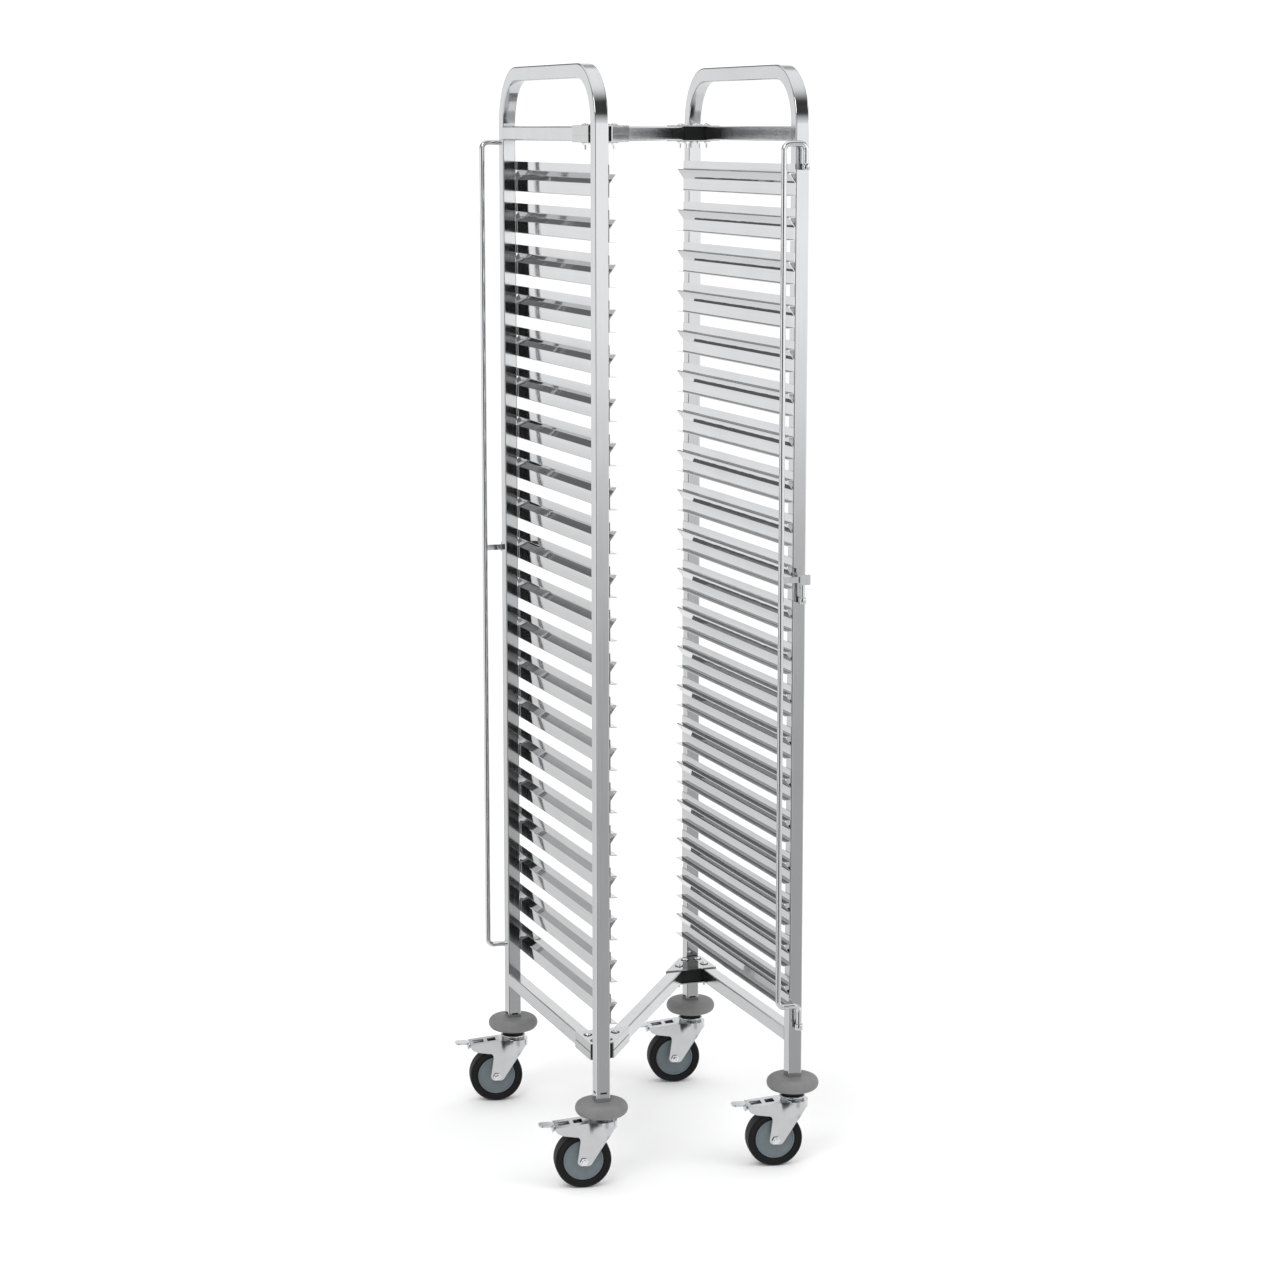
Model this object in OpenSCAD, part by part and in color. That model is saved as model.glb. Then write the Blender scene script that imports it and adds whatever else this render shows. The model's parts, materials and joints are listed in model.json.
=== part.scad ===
// Tray trolley for bakery sheet pans. Two side frames of square tube carry a
// column of slide rails each. Two diagonal bars join them, so the plan is a
// letter Z that nests with the next trolley. Each side frame stands on two
// braked swivel casters, and a hinged bar at each end keeps the trays in.
//
// Millimetres, +Z up, +X to the right, +Y to the rear. The origin is on the
// floor, under the middle of the whole trolley.

/* [Frame] */
// Width over the two side frames
frame_w = 385; // [375:5:405]
// Depth over the front and rear posts
frame_d = 555; // [535:5:585]
// Height of the handle arches above the floor
frame_h = 1940; // [1930:5:1960]
// Side of the square tube
tube = 25; // [24:1:26]
// Wall of the square tube
tube_wall = 1.5; // [1:0.25:2]
// Outer radius of the bends in a handle arch
bend_r = 100; // [80:5:110]
// Height of the top bars' upper face
top_bar_z = 1835; // [1830:1:1838]
// Height of the bottom bars' upper face
bottom_bar_z = 249; // [245:1:252]

/* [Slide rails] */
// Number of tray levels
levels = 20; // [4:1:20]
// Height from one ledge to the next
pitch = 75; // [72:1:75]
// Height of the highest ledge
top_ledge_z = 1757; // [1755:1:1765]
// Width of the ledge that a tray slides on
ledge_w = 13; // [10:1:15]
// Height of the web above the ledge
web_up = 15; // [12:1:16]
// Drop from the ledge to the fold where its brace meets the web
brace_drop = 17.5; // [14:0.5:20]
// Drop from the ledge to the lip that holds the tray below down
lip_drop = 39.5; // [36:0.5:41]
// Sheet thickness of a rail
rail_t = 1.2; // [1:0.1:1.5]

/* [Corner brackets] */
// Reach of a bracket from the middle of its post
bracket_l = 103; // [98:1:108]
// Sheet thickness of a bracket shell
bracket_t = 2; // [1.5:0.25:2.5]
// Distance from the middle of the post to the inner bolts
bolt_near = 37; // [35:1:39]
// Distance from the middle of the post to the outer bolts
bolt_far = 75; // [70:1:80]

/* [Retaining bars] */
// Diameter of the bar's rod
rod_d = 10; // [9:0.5:10]
// Distance from the pivot to the upright rod
bar_reach = 40; // [36:1:44]
// Distance from the post's face to the pivot
pivot_gap = 15; // [15:0.5:17]
// Height of the bar's top arm
bar_top_z = 1806; // [1800:1:1808]
// Height of the middle arm
bar_mid_z = 1060; // [1000:5:1100]
// Height of the bottom arm
bar_low_z = 298; // [296:1:302]

/* [Casters] */
// Wheel diameter
wheel_d = 100; // [98:0.5:100]
// Width of the tyre
wheel_w = 32; // [28:1:32]
// Distance from the swivel axis to the wheel's axle
trail = 34; // [32:1:35]
// Angle that the stored casters trail away from the left
caster_yaw = 10; // [0:1:15]
// Diameter of the rubber bumper discs
bumper_d = 93; // [85:1:100]
// Thickness of a bumper disc
bumper_t = 25; // [20:1:28]

/* [Hidden] */
CORNERS = ["front_left", "front_right", "rear_left", "rear_right"];
SIDES = ["left", "right"];
TIERS = ["top", "bottom"];
// The two corners where a diagonal bar meets a side bar
JOINTS = ["front_left", "rear_right"];
SHELLS = ["upper", "lower"];

$fn = 48;
eps = 0.01;
// How far a cutting shape reaches past what it cuts
over = 1;
// Radial play of a screw or a stem in its hole
hole_play = 0.1;

steel = [0.78, 0.78, 0.79];
polished = [0.86, 0.86, 0.87];
zinc = [0.72, 0.73, 0.75];
black = [0.05, 0.05, 0.05];
rubber_grey = [0.42, 0.42, 0.42];
hub_grey = [0.40, 0.44, 0.48];

// Frame
half = tube / 2;
tube_edge_r = 2.5;
tube_bore_r = 1;
post_x = frame_w / 2 - half;
post_y = frame_d / 2 - half;
post_foot_z = 128;
slot_z = 169;
slot_w = 12;
slot_h = 3;

// Diagonal bars: run and angle between the middles of the two posts
run_x = 2 * post_x;
run_y = 2 * post_y;
slope = run_x / run_y;
diagonal_a = atan(slope);
diagonal_half_w = half / cos(diagonal_a);
bar_start = 22;
mitre_gap = 0.3;

// Brackets
shell_start = 17;
seam = 2;
bolt_r = 3;
bolt_hole_r = 3.3;
bolt_head_r = 6;
bolt_head_h = 4;
nut_af = 10;
nut_h = 4;
bolt_tail = 8;
spigot_l = 66;
spigot_gap = 0.35;
tie_r = 3;
tie_u = 7;
tie_head_r = 3.8;
tie_head_h = 4;
wedge_inset = 4;
tie_overlap = 6;

// Retaining bars
rod_r = rod_d / 2;
rod_bend_r = 11;
pin_l = 42;
mid_pin_l = 40;
arm_h = 10;
arm_t = 5;
thumb_w = 19.5;
thumb_h = 18;
thumb_t = 1.5;
thumb_out = 12.5;
keeper_gap = 6;
socket_r = 7;
socket_h = 9;
socket_wall = 2;
pin_play = 0.05;
end_play = 0.3;
keeper_w = 13;
keeper_h = 8;
keeper_d = 10;

// Casters
wheel_r = wheel_d / 2;
hub_r = 35.3;
fork_gap = 17.5;
fork_t = 2.5;
crown_r = 25;
crown_z = 114;
crown_t = 2.5;
race_top_z = 120;
head_r = 23.5;
head_z = 123;
ball_r = 1.48;
ball_orbit = head_r - 2;
ball_count = 8;
race_w = 2.5;
kingpin_r = 6;
kingpin_flange = 3;
running = 0.05;
stem_r = 5;
stem_top_z = 190;
stem_nut_af = 16;
stem_nut_h = 6;
axle_r = 4;
axle_af = 13;
axle_head_h = 4.5;
axle_nut_h = 5.5;
axle_tail = 7.5;
sleeve_r = 6;
pedal_pin_x = trail + 6;
pedal_pin_z = 108;
pedal_pin_r = 3;
pedal_rivet = 0.8;
tail_x = 84;
tail_z = 119;
tail_end_z = 110.5;
tail_a = atan((tail_z - tail_end_z) / (tail_x - crown_r));
window_w = 20;
window_spans = [[34, 50], [57, 77]];
leg_foot_r = 9;
leg_foot_x = [trail - 6.5, trail + 2.5];
leg_foot_z = wheel_r + 1;
leg_top_x = [-18, trail + 5.3];
leg_top_z = tail_z - 6;
throat_r = 6.6;
throat = [trail + 12, wheel_r + 39];
skirt_h = 8;
pedal_reach = 111;
lever_w = 28;
lever_t = 2.5;
lever_up = 4.4;
lever_neck = 16;
paddle_w = 24;
paddle_t = 3;
paddle_r = 7;
paddle_z = 112;
shoe_w = 26;
shoe_t = 6;
shoe_drop = 6.5;
collar_r = 20;
collar_h = 9.5;
collar_gap = 0.1;
bumper_gap = 0.3;
plug_side = 21.4;
plug_z = 131;
plug_h = 50;

// Tyre and hub
tread_crown = 1.2;
shoulder_r = 4;
hub_boss_r = 11;
dish_rim = 2.5;
dish_boss_r = 14;
dish_depth = 1.5;

// The casters and the pedals reach further left than the bumpers reach right
reach_left = post_x + pedal_reach * cos(caster_yaw) + 2;
reach_right = post_x + bumper_d / 2;
centre_x = (reach_left - reach_right) / 2;

function side_of(c) = (c == "front_left" || c == "rear_left" || c == "left") ? -1 : 1;
function end_of(c) = (c == "front_left" || c == "front_right") ? -1 : 1;
function bar_z(tier) = tier == "top" ? top_bar_z : bottom_bar_z;
function has_collar(c) = c != "front_left";
function has_slots(c) = c != "front_right";
function bumper_z(c) = post_foot_z + (has_collar(c) ? collar_h : 0);

// ---------------------------------------------------------------- placing

module at_corner(c)
    translate([side_of(c) * post_x + centre_x, end_of(c) * post_y, 0])
        children();

// u (local X) points to the other side frame, v (local Y) along the side bar
module at_joint(c)
    at_corner(c)
        rotate([0, 0, c == "rear_right" ? 180 : 0])
            children();

// Local X is the way the caster trails
module at_caster(c)
    at_corner(c)
        rotate([0, 0, 180 - caster_yaw])
            children();

// Local origin on the pivot, local X towards the upright rod
module at_bar(side) {
    sign = side == "left" ? 1 : -1;
    translate([side_of(side) * post_x + centre_x, sign * (frame_d / 2 + pivot_gap), 0])
        rotate([0, 0, 180])
            children();
}

// ---------------------------------------------------------------- frame

// A square with rounded corners, centred on the origin
module rounded_square(side, r) {
    square([side, side - 2 * r], center = true);
    square([side - 2 * r, side], center = true);
    for (sx = [-1, 1], sy = [-1, 1])
        translate([sx * (side / 2 - r), sy * (side / 2 - r)])
            circle(r);
}

module tube_section()
    difference() {
        rounded_square(tube, tube_edge_r);
        rounded_square(tube - 2 * tube_wall, tube_bore_r);
    }

// An inverted U in the YZ plane, swept with a rounded square
module arch(side, r, foot_z) {
    bend_mid = bend_r - half;
    post_top = frame_h - bend_r;
    for (s = [-1, 1])
        translate([0, s * post_y, foot_z])
            linear_extrude(post_top - foot_z)
                rounded_square(side, r);
    for (s = [-1, 1])
        translate([0, s * (post_y - bend_mid), post_top])
            rotate([90, 0, s * 90])
                rotate_extrude(angle = 90)
                    translate([bend_mid, 0])
                        rounded_square(side, r);
    translate([0, 0, frame_h - half])
        rotate([90, 0, 0])
            linear_extrude(2 * (post_y - bend_mid), center = true)
                rounded_square(side, r);
}

module expander_slots(c)
    translate([0, end_of(c) * post_y, slot_z])
        for (a = [0, 90])
            rotate([0, 0, a])
                cube([slot_w, tube + over, slot_h], center = true);

module tie_hole(c)
    at_joint(c)
        for (t = TIERS)
            translate([tie_u, 0, bar_z(t) - half])
                rotate([-90, 0, 0])
                    cylinder(r = tie_r + hole_play, h = half + over);

module side_frame(side)
    color(steel)
        difference() {
            translate([side_of(side) * post_x + centre_x, 0, 0])
                difference() {
                    arch(tube, tube_edge_r, post_foot_z);
                    arch(tube - 2 * tube_wall, tube_bore_r, post_foot_z - over);
                    for (c = CORNERS)
                        if (side_of(c) == side_of(side) && has_slots(c))
                            expander_slots(c);
                }
            for (c = JOINTS)
                if (side_of(c) == side_of(side))
                    tie_hole(c);
        }

// Bolt holes of a corner bracket, on the side bar or on the diagonal bar
module bolt_holes(on_diagonal)
    for (v = [bolt_near, bolt_far])
        translate([on_diagonal ? v * slope : 0, v, -tube])
            cylinder(r = bolt_hole_r, h = 3 * tube);

module side_bar(side, tier) {
    joint = side == "left" ? "front_left" : "rear_right";
    bar_end = run_y - half;
    color(steel)
        at_joint(joint)
            translate([0, 0, bar_z(tier) - half])
                difference() {
                    translate([0, bar_start, 0])
                        rotate([-90, 0, 0])
                            linear_extrude(bar_end - bar_start)
                                tube_section();
                    bolt_holes(false);
                }
}

// The end of a diagonal bar is cut back to the connector and the side bar
module diagonal_cut() {
    translate([-2 * tube, -3 * tube, -tube])
        cube([6 * tube, 3 * tube + bar_start, 2 * tube]);
    translate([-4 * tube, -tube, -tube])
        cube([4 * tube + half + mitre_gap, 5 * tube, 2 * tube]);
    bolt_holes(true);
}

module diagonal_bar(tier)
    color(steel)
        difference() {
            translate([centre_x, 0, bar_z(tier) - half])
                rotate([-90, 0, -diagonal_a])
                    linear_extrude(norm([run_x, run_y]), center = true)
                        tube_section();
            for (c = JOINTS)
                at_joint(c)
                    translate([0, 0, bar_z(tier) - half])
                        diagonal_cut();
        }

// ---------------------------------------------------------------- rails

// Folded sheet, with the web's outer face on x = 0 and the ledge's top on y = 0
module rail_section() {
    t = rail_t;
    polygon([
        [0, web_up],
        [t, web_up],
        [t, 0],
        [ledge_w, 0],
        [ledge_w, -t],
        [t, -brace_drop],
        [t, t - lip_drop],
        [ledge_w, t - lip_drop],
        [ledge_w, -lip_drop],
        [0, -lip_drop],
        [0, -brace_drop],
        [ledge_w - 2.4 * t, -t],
        [0, -t]
    ]);
}

module rails(side)
    color(polished)
        for (i = [0 : levels - 1])
            translate([centre_x, 0, top_ledge_z - i * pitch])
                mirror([side == "left" ? 0 : 1, 0, 0])
                    translate([-frame_w / 2 + tube, 0, 0])
                        rotate([90, 0, 0])
                            linear_extrude(frame_d, center = true)
                                rail_section();

// ---------------------------------------------------------------- brackets

// Plan of a bracket, grown sideways by a wall thickness
module bracket_plan(grow, v0, v1) {
    left = -half - grow;
    right = diagonal_half_w + grow / cos(diagonal_a);
    polygon([
        [left, v0],
        [left, v1],
        [slope * v1 + right, v1],
        [slope * v0 + right, v0]
    ]);
}

// Upper shell, with z = 0 at the middle of the tubes
module bracket_shell()
    difference() {
        translate([0, 0, seam / 2])
            linear_extrude(half + bracket_t - seam / 2)
                bracket_plan(bracket_t, shell_start, bracket_l);
        linear_extrude(2 * half, center = true)
            bracket_plan(0, shell_start - over, bracket_l + over);
        bolt_holes(false);
        bolt_holes(true);
    }

module bracket(joint, tier, shell)
    color(polished)
        at_joint(joint)
            translate([0, 0, bar_z(tier) - half])
                mirror([0, 0, shell == "upper" ? 0 : 1])
                    bracket_shell();

// A domed bolt with its nut, with z = 0 at the middle of the tubes
module bolt_and_nut() {
    seat = half + bracket_t;
    dome_r = (bolt_head_r * bolt_head_r + bolt_head_h * bolt_head_h) / (2 * bolt_head_h);
    translate([0, 0, -seat - nut_h - bolt_tail])
        cylinder(r = bolt_r, h = 2 * seat + nut_h + bolt_tail + over);
    intersection() {
        translate([0, 0, seat + bolt_head_h - dome_r])
            sphere(dome_r);
        translate([0, 0, seat])
            cylinder(r = bolt_head_r + over, h = bolt_head_h + over);
    }
}

module hex_nut(af, h, bore_r)
    difference() {
        cylinder(d = af / cos(30), h = h, $fn = 6);
        translate([0, 0, -over])
            cylinder(r = bore_r, h = h + 2 * over, $fn = 32);
    }

module bracket_bolts(tier)
    color(zinc)
        for (j = JOINTS, v = [bolt_near, bolt_far], on_diagonal = [0, 1])
            at_joint(j)
                translate([on_diagonal * v * slope, v, bar_z(tier) - half]) {
                    bolt_and_nut();
                    translate([0, 0, -half - bracket_t - nut_h])
                        hex_nut(nut_af, nut_h, bolt_r + running);
                }

// Black plastic connector: a pad against the post with a spigot into each bar
module connector_body() {
    spigot = tube - 2 * tube_wall - 2 * spigot_gap;
    pad_right = slope * half + diagonal_half_w;
    translate([-half, half, -half])
        cube([half + pad_right, bar_start - half, tube]);
    translate([-spigot / 2, bar_start - 1, -spigot / 2])
        cube([spigot, spigot_l, spigot]);
    intersection() {
        rotate([0, 0, -diagonal_a])
            translate([-spigot / 2, 0, -spigot / 2])
                cube([spigot, spigot_l + 3 * half, spigot]);
        translate([half + tube_wall, bar_start - 1, -half])
            cube([4 * tube, 4 * tube, tube]);
    }
}

// Black plastic wedge that closes the notch between the two bars
module connector_wedge() {
    v0 = (half + diagonal_half_w) / slope + 4;
    v1 = bracket_l - wedge_inset;
    u0 = half + mitre_gap;
    linear_extrude(tube - 2 * mitre_gap, center = true)
        polygon([
            [u0, v0],
            [u0, v1],
            [slope * v1 - diagonal_half_w - mitre_gap, v1],
            [slope * v0 - diagonal_half_w - mitre_gap, v0]
        ]);
}

module tie_screw(r, head_r)
    translate([tie_u, bar_start + spigot_l, 0])
        rotate([90, 0, 0]) {
            cylinder(r = r, h = spigot_l + bar_start - half + tie_overlap);
            translate([0, 0, -tie_head_h])
                cylinder(r = head_r, h = tie_head_h);
        }

module corner_connectors()
    color(black)
        for (j = JOINTS, t = TIERS)
            at_joint(j)
                translate([0, 0, bar_z(t) - half]) {
                    difference() {
                        connector_body();
                        bolt_holes(false);
                        bolt_holes(true);
                        translate([tie_u, 0, 0])
                            rotate([-90, 0, 0])
                                cylinder(r = tie_r + hole_play, h = 4 * tube);
                    }
                    connector_wedge();
                }

module connector_screws()
    color(zinc)
        for (j = JOINTS, t = TIERS)
            at_joint(j)
                translate([0, 0, bar_z(t) - half])
                    tie_screw(tie_r, tie_head_r);

// ---------------------------------------------------------------- bars

// Arm with its downward pin: from the rod's bend along -X to the pivot
module bar_end(z) {
    straight = bar_reach - 2 * rod_bend_r;
    translate([rod_bend_r, 0, z])
        rotate([0, 90, 0])
            cylinder(r = rod_r, h = straight);
    translate([rod_bend_r, 0, z - rod_bend_r])
        rotate([90, 0, 0])
            rotate([0, 0, 90])
                rotate_extrude(angle = 90)
                    translate([rod_bend_r, 0])
                        circle(rod_r);
    translate([0, 0, z - pin_l])
        cylinder(r = rod_r, h = pin_l - rod_bend_r);
}

// Quarter bend between an arm and the upright rod, opening up or down
module bar_corner(z, up)
    translate([bar_reach - rod_bend_r, 0, z + up * rod_bend_r])
        rotate([90, 0, 0])
            rotate([0, 0, up > 0 ? -90 : 0])
                rotate_extrude(angle = 90)
                    translate([rod_bend_r, 0])
                        circle(rod_r);

module retaining_bar(side)
    color(polished)
        at_bar(side) {
            bar_end(bar_top_z);
            bar_end(bar_low_z);
            bar_corner(bar_top_z, -1);
            bar_corner(bar_low_z, 1);
            translate([bar_reach, 0, bar_low_z + rod_bend_r])
                cylinder(r = rod_r, h = bar_top_z - bar_low_z - 2 * rod_bend_r);
            translate([0, -arm_t / 2, bar_mid_z - arm_h / 2])
                cube([bar_reach, arm_t, arm_h]);
            translate([0, 0, bar_mid_z - mid_pin_l])
                cylinder(r = rod_r, h = mid_pin_l + arm_h / 2);
        }

// Thumb plate on the middle arm, on the side away from the post
module thumb_plate(side) {
    out = side == "left" ? -1 : 1;
    color(steel)
        at_bar(side)
            translate([-thumb_out, 0, bar_mid_z - thumb_h / 2])
                mirror([0, out > 0 ? 0 : 1, 0])
                    translate([0, rod_r, 0])
                        cube([thumb_w, thumb_t, thumb_h]);
}

// Socket that a pin turns in, with its web back to the post's face
module bar_socket(pin_end_z, out) {
    floor_z = pin_end_z - end_play - socket_wall;
    difference() {
        translate([0, 0, floor_z])
            union() {
                cylinder(r = socket_r, h = socket_h + socket_wall);
                mirror([0, out > 0 ? 1 : 0, 0])
                    translate([-socket_r / 2, 0, 0])
                        cube([socket_r, pivot_gap, socket_h + socket_wall]);
            }
        translate([0, 0, pin_end_z - end_play])
            cylinder(r = rod_r + pin_play, h = socket_h + over);
    }
}

// Three sockets and the stop lug above the middle arm, all welded to the post
module bar_sockets(side) {
    out = side == "left" ? -1 : 1;
    color(steel)
        at_bar(side) {
            bar_socket(bar_top_z - pin_l, out);
            bar_socket(bar_mid_z - mid_pin_l, out);
            bar_socket(bar_low_z - pin_l, out);
            mirror([0, out > 0 ? 1 : 0, 0])
                translate([-keeper_w / 3, pivot_gap - keeper_d, bar_mid_z + arm_h / 2 + keeper_gap])
                    cube([keeper_w, keeper_d, keeper_h]);
        }
}

// ---------------------------------------------------------------- feet

module bumper(c)
    color(rubber_grey)
        at_corner(c)
            translate([0, 0, bumper_z(c)])
                difference() {
                    rotate_extrude($fn = 96)
                        bumper_section();
                    translate([0, 0, bumper_t / 2])
                        cube([tube + 2 * bumper_gap, tube + 2 * bumper_gap, bumper_t + over], center = true);
                }

// Half section of a bumper: a flat disc with a round rim
module bumper_section() {
    r = bumper_t / 2;
    square([bumper_d / 2 - r, bumper_t]);
    intersection() {
        translate([bumper_d / 2 - r, r])
            circle(r);
        square([bumper_d, bumper_t]);
    }
}

module post_collars()
    color(black)
        for (c = CORNERS)
            if (has_collar(c))
                at_corner(c)
                    translate([0, 0, post_foot_z])
                        difference() {
                            cylinder(r = collar_r, h = collar_h);
                            translate([0, 0, collar_h / 2])
                                linear_extrude(3 * collar_h, center = true)
                                    square(tube + 2 * collar_gap, center = true);
                        }

module expander_plugs()
    color(black)
        for (c = CORNERS)
            at_corner(c)
                translate([0, 0, plug_z])
                    difference() {
                        translate([0, 0, plug_h / 2])
                            cube([plug_side, plug_side, plug_h], center = true);
                        translate([0, 0, -over])
                            cylinder(r = stem_r + hole_play, h = plug_h + 2 * over);
                    }

module swivel_balls()
    color(polished)
        for (c = CORNERS)
            at_corner(c)
                for (i = [0 : ball_count - 1])
                    rotate([0, 0, i * 360 / ball_count])
                        translate([ball_orbit, 0, (race_top_z + head_z) / 2])
                            sphere(ball_r, $fn = 24);

// ---------------------------------------------------------------- casters

// Fixed head: upper race, kingpin below it, threaded stem and nut above it
module caster_stem(c)
    color(zinc)
        at_corner(c) {
            rotate_extrude()
                union() {
                    edge = (post_foot_z - head_z) / 2;
                    translate([0, head_z])
                        square([head_r - edge, 2 * edge]);
                    intersection() {
                        translate([head_r - edge, head_z + edge])
                            circle(edge, $fn = 32);
                        translate([0, head_z])
                            square([head_r + over, 2 * edge]);
                    }
                }
            translate([0, 0, crown_z - kingpin_flange])
                cylinder(r = kingpin_r, h = head_z - crown_z + kingpin_flange + over);
            translate([0, 0, crown_z - kingpin_flange])
                cylinder(r = kingpin_r + kingpin_flange, h = kingpin_flange - end_play);
            translate([0, 0, post_foot_z - over])
                cylinder(r = stem_r, h = stem_top_z - post_foot_z + over);
            translate([0, 0, plug_z + plug_h])
                hex_nut(stem_nut_af, stem_nut_h, stem_r + running);
        }

// Side plate of the fork in the (trail, height) plane
module fork_outline()
    difference() {
        union() {
            hull()
                for (i = [0, 1]) {
                    translate([leg_foot_x[i], leg_foot_z])
                        circle(leg_foot_r, $fn = 32);
                    translate([leg_top_x[i], leg_top_z])
                        square([eps, eps]);
                }
            polygon([
                [-crown_r, tail_z],
                [leg_top_x[0], leg_top_z],
                [trail + 5, throat[1] - 3],
                [trail + 10, throat[1] + 6],
                [trail + 33, throat[1] + 9],
                [tail_x - 5, tail_end_z - 7.5],
                [tail_x, tail_end_z],
                [crown_r, tail_z]
            ]);
        }
        translate(throat)
            circle(throat_r, $fn = 32);
    }

module fork_side()
    translate([0, fork_gap + fork_t, 0])
        rotate([90, 0, 0])
            linear_extrude(fork_t)
                fork_outline();

module caster_fork(c)
    color(zinc)
        at_caster(c)
            difference() {
                union() {
                    fork_side();
                    mirror([0, 1, 0])
                        fork_side();
                    translate([0, 0, crown_z])
                        cylinder(r = crown_r, h = crown_t);
                    translate([0, 0, crown_z])
                        race_ring();
                    tail_plate();
                    fork_skirt();
                }
                translate([0, 0, crown_z - over])
                    cylinder(r = kingpin_r + running, h = crown_t + 2 * over);
                translate([0, 0, crown_z + crown_t])
                    cylinder(r = head_r - race_w, h = race_top_z);
                tail_windows();
                axle_hole(axle_r + hole_play, trail, wheel_r);
                axle_hole(pedal_pin_r + running, pedal_pin_x, pedal_pin_z);
            }

// Bright lower race that stands on the crown
module race_ring()
    rotate_extrude()
        translate([head_r - race_w, 0])
            square([race_w, race_top_z - crown_z]);

// Top of the pressing: level over the crown, then down along the tail
module tail_plate() {
    end_x = tail_x - 2;
    end_z = tail_z - (end_x - crown_r) * tan(tail_a);
    rotate([90, 0, 0])
        linear_extrude(2 * fork_gap + 2 * eps, center = true)
            polygon([
                [0, tail_z],
                [crown_r, tail_z],
                [end_x, end_z],
                [end_x, end_z - fork_t],
                [crown_r, tail_z - fork_t],
                [0, tail_z - fork_t]
            ]);
}

// Curved front of the pressing, between the two side plates
module fork_skirt()
    difference() {
        translate([0, 0, crown_z - skirt_h])
            cylinder(r = crown_r, h = skirt_h + eps);
        translate([0, 0, crown_z - skirt_h - over])
            cylinder(r = crown_r - fork_t, h = skirt_h + over);
        translate([0, -2 * crown_r, 0])
            cube([4 * crown_r, 4 * crown_r, 2 * tail_z]);
    }

module axle_hole(r, x, z)
    translate([x, 0, z])
        rotate([90, 0, 0])
            cylinder(r = r, h = 3 * fork_gap, center = true);

module tail_windows()
    for (x = window_spans)
        translate([x[0], -window_w / 2, tail_end_z - fork_t])
            cube([x[1] - x[0], window_w, tail_z - tail_end_z + fork_t]);

// Wheel axle with its sleeve and nut, and the brake pedal's pin
module caster_axle(c)
    color(zinc)
        at_caster(c) {
            grip = fork_gap + fork_t;
            translate([trail, 0, wheel_r])
                rotate([-90, 0, 0]) {
                    translate([0, 0, -grip])
                        cylinder(r = axle_r, h = 2 * grip + axle_tail);
                    translate([0, 0, -grip - axle_head_h])
                        cylinder(d = axle_af / cos(30), h = axle_head_h + eps, $fn = 6);
                    translate([0, 0, grip])
                        hex_nut(axle_af, axle_nut_h, axle_r + running);
                    difference() {
                        cylinder(r = sleeve_r, h = 2 * fork_gap, center = true);
                        cylinder(r = axle_r + hole_play, h = 3 * fork_gap, center = true);
                    }
                }
            translate([pedal_pin_x, 0, pedal_pin_z])
                rotate([90, 0, 0])
                    cylinder(r = pedal_pin_r, h = 2 * (grip + pedal_rivet), center = true);
        }

// Brake pedal: lever under the tail, shoe over the tyre, and a raised paddle
module brake_pedal(c)
    color(zinc)
        at_caster(c)
            difference() {
                union() {
                    translate([pedal_pin_x, 0, pedal_pin_z])
                        rotate([0, tail_a, 0])
                            pedal_lever();
                    translate([tail_x + 1.5, -lever_neck / 2, paddle_z - 10])
                        cube([lever_t, lever_neck, 10 + paddle_t]);
                    paddle();
                }
                axle_hole(pedal_pin_r + running, pedal_pin_x, pedal_pin_z);
            }

// Local origin on the pedal's pin
module pedal_lever() {
    lever_l = tail_x - pedal_pin_x;
    translate([0, -lever_w / 2, lever_up - 1])
        cube([lever_l - 6, lever_w, lever_t]);
    translate([lever_l - 12, -lever_neck / 2, lever_up - lever_t])
        cube([14, lever_neck, lever_t]);
    rotate([90, 0, 0])
        cylinder(r = pedal_pin_r + 1.5, h = 2 * fork_gap - 1, center = true);
    translate([4, -shoe_w / 2, -shoe_drop])
        cube([shoe_t, shoe_w, shoe_drop + lever_up]);
}

// Paddle with rounded corners
module paddle() {
    start = tail_x + 1.5;
    translate([0, 0, paddle_z])
        linear_extrude(paddle_t) {
            translate([start, -lever_neck / 2])
                square([pedal_reach - paddle_r - start, lever_neck]);
            translate([start + paddle_r, -paddle_w / 2])
                square([pedal_reach - start - 2 * paddle_r, paddle_w]);
            translate([start + paddle_r, -paddle_w / 2 + paddle_r])
                square([pedal_reach - start - paddle_r, paddle_w - 2 * paddle_r]);
            for (s = [-1, 1], x = [start + paddle_r, pedal_reach - paddle_r])
                translate([x, s * (paddle_w / 2 - paddle_r)])
                    circle(paddle_r);
        }
}

module at_wheel(c)
    at_caster(c)
        translate([trail, 0, wheel_r])
            rotate([90, 0, 0])
                children();

// Half section of the tyre, with a crowned tread
module tyre_section() {
    hw = wheel_w / 2;
    big = (hw * hw + tread_crown * tread_crown) / (2 * tread_crown);
    intersection() {
        translate([hub_r, -hw])
            square([wheel_r - hub_r, wheel_w]);
        translate([wheel_r - big, 0])
            circle(big, $fn = 96);
        union() {
            translate([0, -hw + shoulder_r])
                square([wheel_r, wheel_w - 2 * shoulder_r]);
            translate([0, -hw])
                square([wheel_r - shoulder_r, wheel_w]);
            for (s = [-1, 1])
                translate([wheel_r - shoulder_r, s * (hw - shoulder_r)])
                    circle(shoulder_r, $fn = 32);
        }
    }
}

module tyre(c)
    color(black)
        at_wheel(c)
            rotate_extrude($fn = 96)
                tyre_section();

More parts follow.
